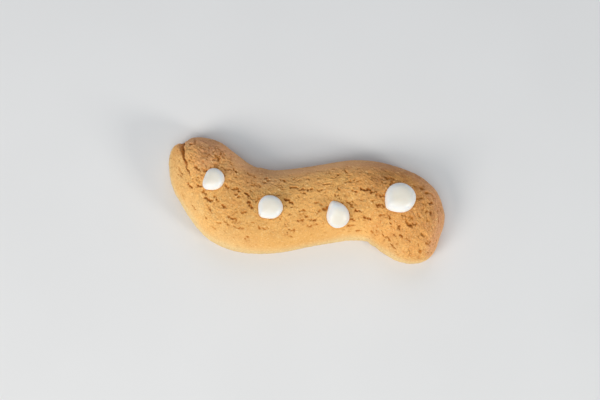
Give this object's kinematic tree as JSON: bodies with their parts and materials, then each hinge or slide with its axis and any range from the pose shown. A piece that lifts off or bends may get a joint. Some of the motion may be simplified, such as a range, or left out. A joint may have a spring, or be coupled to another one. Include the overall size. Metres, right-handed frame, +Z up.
{
  "type": "breakfast biscuit",
  "caption": "Hand-rolled shortcrust biscuit bent into a lazy S, split at one end, with piped drops of white icing along its crest.",
  "frame": {"origin": "middle of the flat underside's box, on the surface that the biscuit lies on", "axes": "+X along the length towards the end with the largest drop of icing, +Y across towards the raised split end's side, +Z up out of the iced crest"},
  "size_m": [0.0908, 0.042, 0.0183],
  "materials": {
    "dough": "dry baked shortcrust, golden with browner cracks and grain",
    "icing": "set white icing, satin"
  },
  "bodies": {
    "root": {"biscuit": "dough", "icing_dot_1": "icing", "icing_dot_2": "icing", "icing_dot_3": "icing", "icing_dot_4": "icing"}
  },
  "joints": []
}
